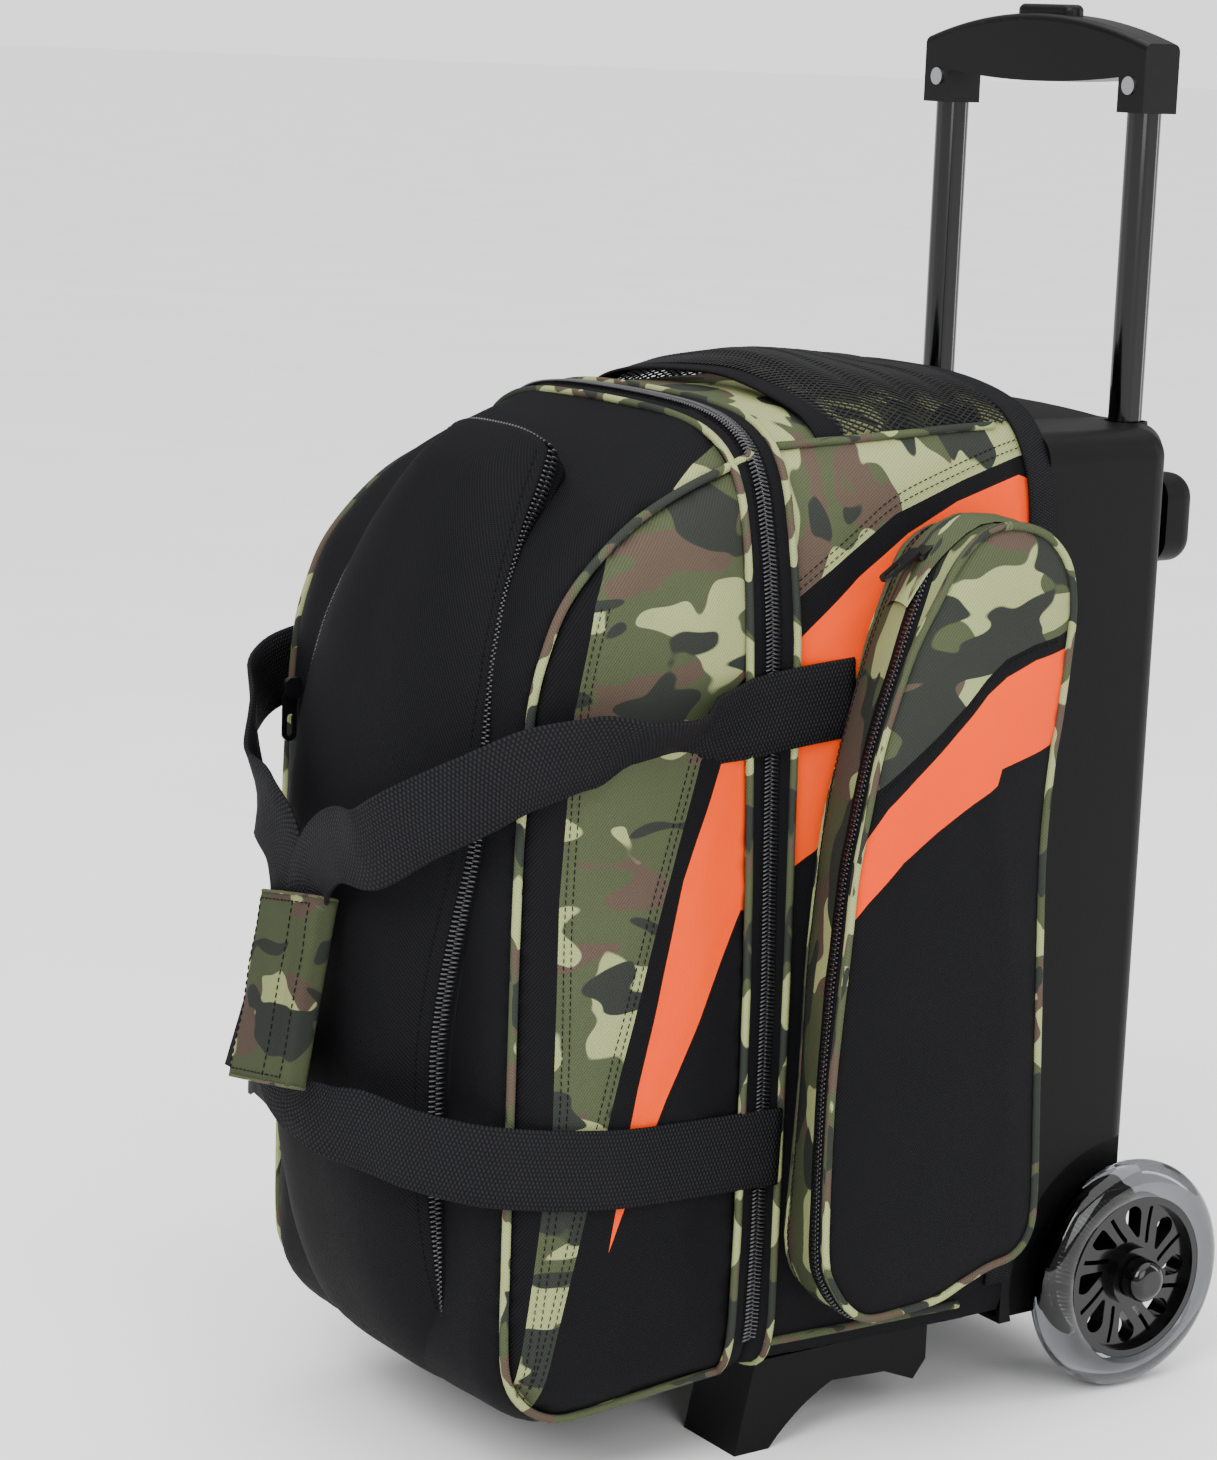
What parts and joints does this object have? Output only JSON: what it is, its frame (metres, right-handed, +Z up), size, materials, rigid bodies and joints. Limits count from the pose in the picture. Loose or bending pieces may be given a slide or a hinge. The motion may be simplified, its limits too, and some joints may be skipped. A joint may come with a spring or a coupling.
{
  "type": "bowling ball bag",
  "caption": "Wheeled bag for two bowling balls: moulded tub, fabric body that opens at the front, side and front pockets, telescopic handle and carry loops.",
  "frame": {"origin": "on the floor, under the middle of the whole bag", "axes": "+Z up, -Y to the front of the bag, +X to its right-hand side"},
  "size_m": [0.3404, 0.5534, 0.742],
  "materials": {
    "moulded_black": "satin moulded plastic with a fine grain",
    "gloss_black": "glossy moulded nylon",
    "grip_plastic": "satin moulded grip",
    "clear_urethane": "smoky clear urethane",
    "steel": "bright zinc",
    "aluminium_tube": "mill finish, hidden in the tub",
    "black_tube": "gloss black anodised",
    "board": "stiff board",
    "lining": "plain lining cloth",
    "body_fabric": "coarse black polyester twill",
    "camo_fabric": "woodland pattern polyester twill",
    "zip_coil": "nylon coil",
    "zip_metal": "black coated zinc",
    "webbing": "herringbone polypropylene webbing",
    "mesh": "open black mesh"
  },
  "bodies": {
    "chassis": {"axle": "steel", "axle_cap_left": "gloss_black", "axle_cap_right": "gloss_black", "ball_cup_lower": "moulded_black", "ball_cup_upper": "moulded_black", "ball_shelf": "board", "base_board": "board", "front_feet": "moulded_black", "lining_panel": "lining", "main_zip_lower_slider": "zip_metal", "main_zip_upper_slider": "zip_metal", "mesh_pocket": "mesh", "outer_tube_left": "aluminium_tube", "outer_tube_right": "aluminium_tube", "rear_bumpers": "moulded_black", "rear_piping": "camo_fabric", "rear_shell": "body_fabric", "rear_zip_coil": "zip_coil", "rear_zip_tape": "body_fabric", "shelf_brackets": "moulded_black", "side_pocket_left": "body_fabric", "side_pocket_right": "body_fabric", "side_zip_left_slider": "zip_metal", "side_zip_right_slider": "zip_metal", "strap_anchors": "webbing", "tub": "moulded_black", "tube_beam": "aluminium_tube", "tube_bushes": "moulded_black", "webbing_border": "webbing"},
    "wheel_left": {"tyre_left": "clear_urethane", "hub_left": "gloss_black", "bearings_left": "steel", "bearing_spacer_left": "steel"},
    "wheel_right": {"tyre_right": "clear_urethane", "hub_right": "gloss_black", "bearings_right": "steel", "bearing_spacer_right": "steel"},
    "lower_stage": {"middle_tube_left": "black_tube", "middle_tube_right": "black_tube"},
    "upper_stage": {"inner_tube_left": "black_tube", "inner_tube_right": "black_tube", "grip_lower_shell": "grip_plastic", "grip_upper_shell": "grip_plastic", "grip_screws": "steel"},
    "button": {"push_button": "grip_plastic", "release_rods": "steel"},
    "front_section": {"front_shell": "body_fabric", "front_pocket": "body_fabric", "front_piping": "camo_fabric", "front_zip_tape": "body_fabric", "front_zip_coil": "zip_coil", "carry_loop_left": "webbing", "carry_loop_right": "webbing", "handle_wrap": "camo_fabric", "front_zip_slider": "zip_metal"},
    "side_zip_left_pull": {"side_zip_left_pull": "zip_metal"},
    "side_zip_right_pull": {"side_zip_right_pull": "zip_metal"},
    "front_zip_pull": {"front_zip_pull": "zip_metal"},
    "main_zip_upper_pull": {"main_zip_upper_pull": "zip_metal"},
    "main_zip_lower_pull": {"main_zip_lower_pull": "zip_metal"}
  },
  "joints": [
    {"name": "wheel_left_spin", "type": "hinge", "parent": "chassis", "child": "wheel_left", "pos_m": [-0.1291, 0.21325, 0.0635], "axis": [1, 0, 0], "continuous": true},
    {"name": "wheel_right_spin", "type": "hinge", "parent": "chassis", "child": "wheel_right", "pos_m": [0.1291, 0.21325, 0.0635], "axis": [1, 0, 0], "continuous": true},
    {"name": "lower_stage_slide", "type": "slide", "parent": "chassis", "child": "lower_stage", "axis": [0, 0, 1], "range_m": [0, 0.15]},
    {"name": "upper_stage_slide", "type": "slide", "parent": "lower_stage", "child": "upper_stage", "axis": [0, 0, 1], "range_m": [-0.16, 0.124]},
    {"name": "button_press", "type": "slide", "parent": "upper_stage", "child": "button", "axis": [0, 0, -1], "range_m": [0, 0.004], "stiffness_N_per_m": 600, "springref_m": -0.004},
    {"name": "front_open", "type": "hinge", "parent": "chassis", "child": "front_section", "pos_m": [0, -0.03875, 0.05], "axis": [1, 0, 0], "range_deg": [0, 20]},
    {"name": "side_zip_left_pull_swing", "type": "hinge", "parent": "chassis", "child": "side_zip_left_pull", "pos_m": [-0.1475, 0.02425, 0.475], "axis": [-1, 0, 0], "range_deg": [0, 150]},
    {"name": "side_zip_right_pull_swing", "type": "hinge", "parent": "chassis", "child": "side_zip_right_pull", "pos_m": [0.1475, 0.02425, 0.475], "axis": [-1, 0, 0], "range_deg": [0, 150]},
    {"name": "front_zip_pull_swing", "type": "hinge", "parent": "front_section", "child": "front_zip_pull", "pos_m": [-0.0812, -0.19675, 0.38], "axis": [0, 1, 0], "range_deg": [0, 120]},
    {"name": "main_zip_upper_pull_swing", "type": "hinge", "parent": "chassis", "child": "main_zip_upper_pull", "pos_m": [-0.1316, -0.03275, 0.262], "axis": [0, 1, 0], "range_deg": [0, 120]},
    {"name": "main_zip_lower_pull_swing", "type": "hinge", "parent": "chassis", "child": "main_zip_lower_pull", "pos_m": [-0.1316, -0.03275, 0.226], "axis": [0, 1, 0], "range_deg": [0, 120]}
  ]
}
